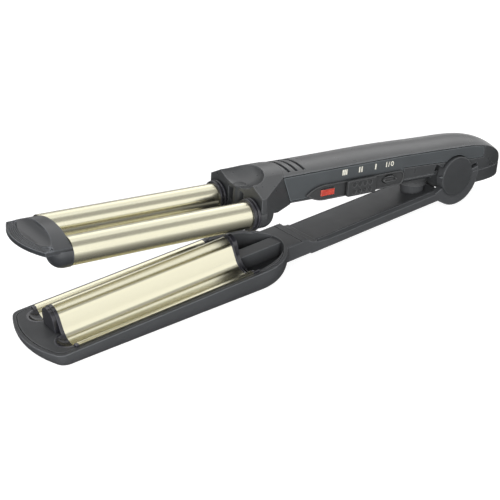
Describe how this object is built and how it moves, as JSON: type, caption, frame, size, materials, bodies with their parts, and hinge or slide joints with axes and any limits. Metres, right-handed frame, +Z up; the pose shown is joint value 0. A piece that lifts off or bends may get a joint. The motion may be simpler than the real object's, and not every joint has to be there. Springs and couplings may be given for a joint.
{
  "type": "hair waver",
  "caption": "Hair waver: parallel heated barrels on a hinged upper arm close into a wave-shaped plate on a boat-shaped lower jaw; side slider, push button and lamp on the handle.",
  "frame": {"origin": "centre of the bounding box in x and y, on the floor under the flat of the lower jaw", "axes": "+X from the tip towards the hinge and the cord end, +Y towards the side without controls, +Z up"},
  "size_m": [0.3596, 0.061, 0.076],
  "materials": {
    "black_plastic": "fine satin grain",
    "panel_plastic": "satin",
    "dark_plastic": "matte",
    "gloss_black": "polished",
    "champagne_anodising": "satin champagne gold coating",
    "cast_aluminium": "as cast",
    "heater_ceramic": "insulating film over the heater",
    "mica": "sheet",
    "component_plastic": "moulded",
    "board_green": "solder mask",
    "red_lens": "clear red",
    "gland_rubber": "soft",
    "bright_steel": "zinc plated",
    "spring_steel": "bright"
  },
  "bodies": {
    "lower_arm": {"lower_arm_shell": "black_plastic", "wave_plate": "champagne_anodising", "front_plate_holder": "gloss_black", "rear_plate_holder": "gloss_black", "heat_spreader": "cast_aluminium", "plate_heater": "heater_ceramic", "heater_clamp": "spring_steel", "heater_clamp_screws": "bright_steel", "mica_sheet": "mica", "plate_thermal_fuse": "component_plastic", "wire_cover": "black_plastic", "wire_cover_screws": "bright_steel", "hinge_pin": "bright_steel", "switch_side_hinge_cap": "panel_plastic", "plain_side_hinge_cap": "panel_plastic", "opening_spring": "spring_steel"},
    "upper_arm": {"barrel_thermostat": "component_plastic", "bottom_cover_screws": "bright_steel", "control_board": "board_green", "cord_gland": "gland_rubber", "handle_bottom_cover": "black_plastic", "handle_shell": "black_plastic", "pilot_lamp": "component_plastic", "pilot_lamp_lens": "red_lens", "plain_side_barrel": "champagne_anodising", "plain_side_collar": "gloss_black", "plain_side_heater": "heater_ceramic", "plain_side_lower_core": "cast_aluminium", "plain_side_panel": "panel_plastic", "plain_side_upper_core": "cast_aluminium", "power_switch": "component_plastic", "spring_cup": "dark_plastic", "switch_bezel": "dark_plastic", "switch_side_barrel": "champagne_anodising", "switch_side_collar": "gloss_black", "switch_side_heater": "heater_ceramic", "switch_side_lower_core": "cast_aluminium", "switch_side_panel": "panel_plastic", "switch_side_upper_core": "cast_aluminium", "tail_cover": "black_plastic", "temperature_switch": "component_plastic", "tip_cap": "black_plastic", "tip_screws": "bright_steel", "yoke_head": "black_plastic"},
    "temperature_slider": {"temperature_slider": "dark_plastic"},
    "power_button": {"power_button": "dark_plastic"}
  },
  "joints": [
    {"name": "jaw_hinge", "type": "hinge", "parent": "lower_arm", "child": "upper_arm", "pos_m": [0.12736, 0, 0.02599], "axis": [0, -1, 0], "range_deg": [0, 9.3], "stiffness_Nm_per_rad": 2, "springref_deg": -34.38, "deforming": ["opening_spring"]},
    {"name": "temperature_slide", "type": "slide", "parent": "upper_arm", "child": "temperature_slider", "axis": [0.9923, 0, -0.1236], "range_m": [-0.0055, 0.0055]},
    {"name": "power_press", "type": "slide", "parent": "upper_arm", "child": "power_button", "axis": [0, 1, 0], "range_m": [0, 0.001], "stiffness_N_per_m": 300, "springref_m": -0.0015}
  ]
}
